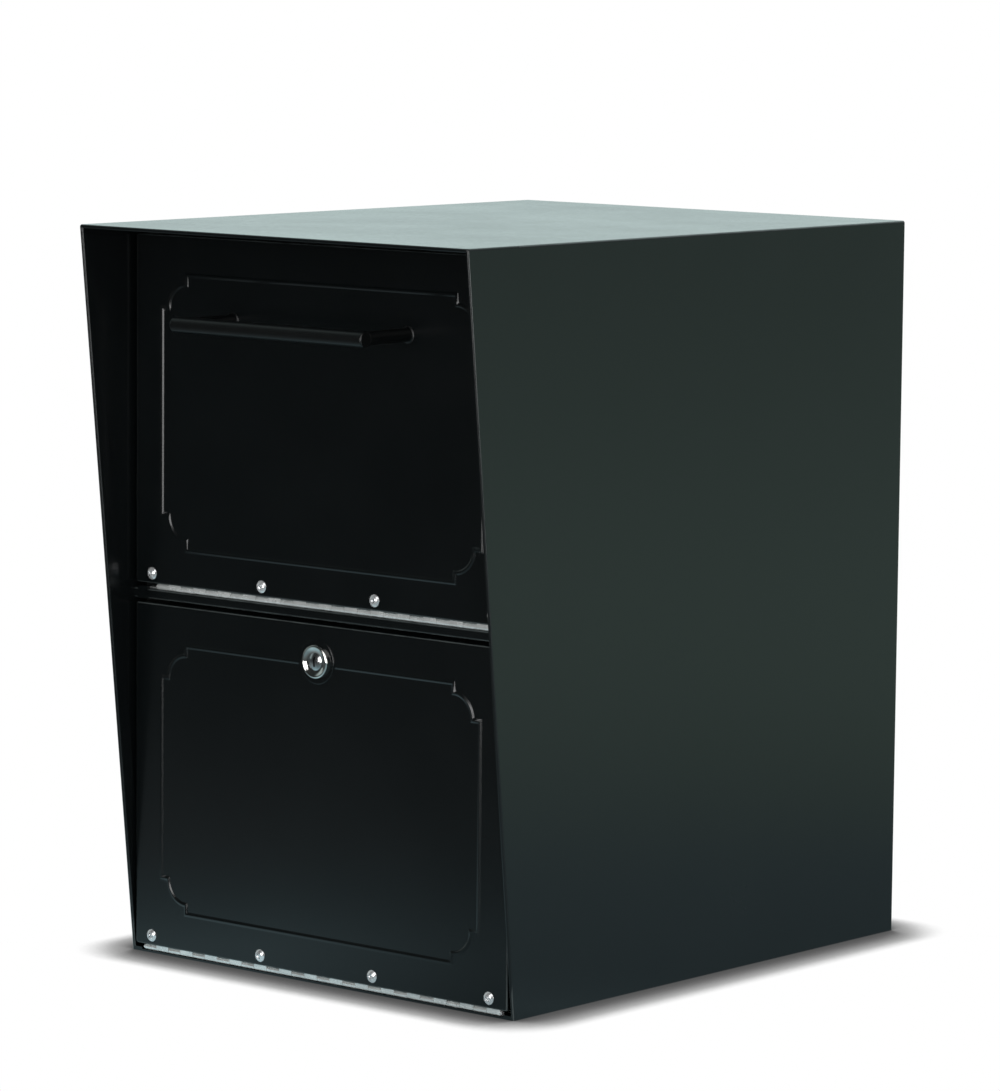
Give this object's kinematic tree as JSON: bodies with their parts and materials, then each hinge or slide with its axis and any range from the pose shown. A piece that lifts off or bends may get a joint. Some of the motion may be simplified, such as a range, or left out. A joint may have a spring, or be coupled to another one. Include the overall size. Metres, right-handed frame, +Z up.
{
  "type": "parcel drop box",
  "caption": "Steel parcel drop box with a hooded front, a pull-down hopper door above and a key-locked collection door below, for bolting to a base.",
  "frame": {"origin": "centre of the base anchor pattern, on the underside of the floor pan", "axes": "+X to the box's right seen from the front, +Y from the doors to the back panel, +Z up"},
  "size_m": [0.381, 0.5194, 0.555],
  "materials": {
    "casing_paint": "semi-gloss black powder coat, fine orange peel",
    "door_paint": "semi-gloss black powder coat, smoother than the casing",
    "handle_paint": "satin black powder coat",
    "inner_paint": "thin satin black coat on the inside sheets",
    "zinc_plate": "zinc plated",
    "bright_steel": "bright plated",
    "lock_chrome": "polished chrome",
    "plug_metal": "nickel plated, lightly worn",
    "rubber": "matt black foam rubber"
  },
  "bodies": {
    "casing": {"hood_shell": "casing_paint", "back_panel": "casing_paint", "back_rivets": "casing_paint", "floor_pan": "casing_paint", "left_jamb": "inner_paint", "right_jamb": "inner_paint", "header_rail": "inner_paint", "cross_rail": "door_paint", "rail_end_clips": "door_paint", "baffle_plate": "inner_paint", "stop_bumpers": "rubber", "upper_seal": "rubber", "lower_seal": "rubber", "upper_frame_leaf": "zinc_plate", "upper_hinge_pin": "bright_steel", "upper_leaf_rivets": "zinc_plate", "lower_frame_leaf": "zinc_plate", "lower_hinge_pin": "bright_steel", "lower_leaf_rivets": "zinc_plate"},
    "upper_door": {"upper_door_skin": "door_paint", "upper_door_liner": "inner_paint", "handle": "handle_paint", "handle_screws": "zinc_plate", "upper_door_leaf": "zinc_plate", "upper_hinge_screws": "bright_steel", "upper_hinge_nuts": "zinc_plate", "hopper_tray": "inner_paint", "left_cheek": "inner_paint", "right_cheek": "inner_paint", "hopper_rivets": "zinc_plate", "stop_lugs": "inner_paint"},
    "lower_door": {"lower_door_skin": "door_paint", "lower_door_liner": "inner_paint", "lower_door_leaf": "zinc_plate", "lower_hinge_screws": "bright_steel", "lower_hinge_nuts": "zinc_plate", "lock_escutcheon": "door_paint", "lock_housing": "lock_chrome", "lock_nut": "zinc_plate"},
    "lock_plug": {"lock_plug": "plug_metal", "lock_cam": "zinc_plate", "cam_washer": "zinc_plate", "cam_screw": "bright_steel"}
  },
  "joints": [
    {"name": "hopper_door_hinge", "type": "hinge", "parent": "casing", "child": "upper_door", "pos_m": [0, -0.2266, 0.281], "axis": [1, 0, 0], "range_deg": [0, 45]},
    {"name": "collection_door_hinge", "type": "hinge", "parent": "casing", "child": "lower_door", "pos_m": [0, -0.2266, 0.0038], "axis": [1, 0, 0], "range_deg": [0, 75]},
    {"name": "lock_turn", "type": "hinge", "parent": "lower_door", "child": "lock_plug", "pos_m": [0, -0.2286, 0.2409], "axis": [0, 1, 0], "range_deg": [0, 90]}
  ]
}
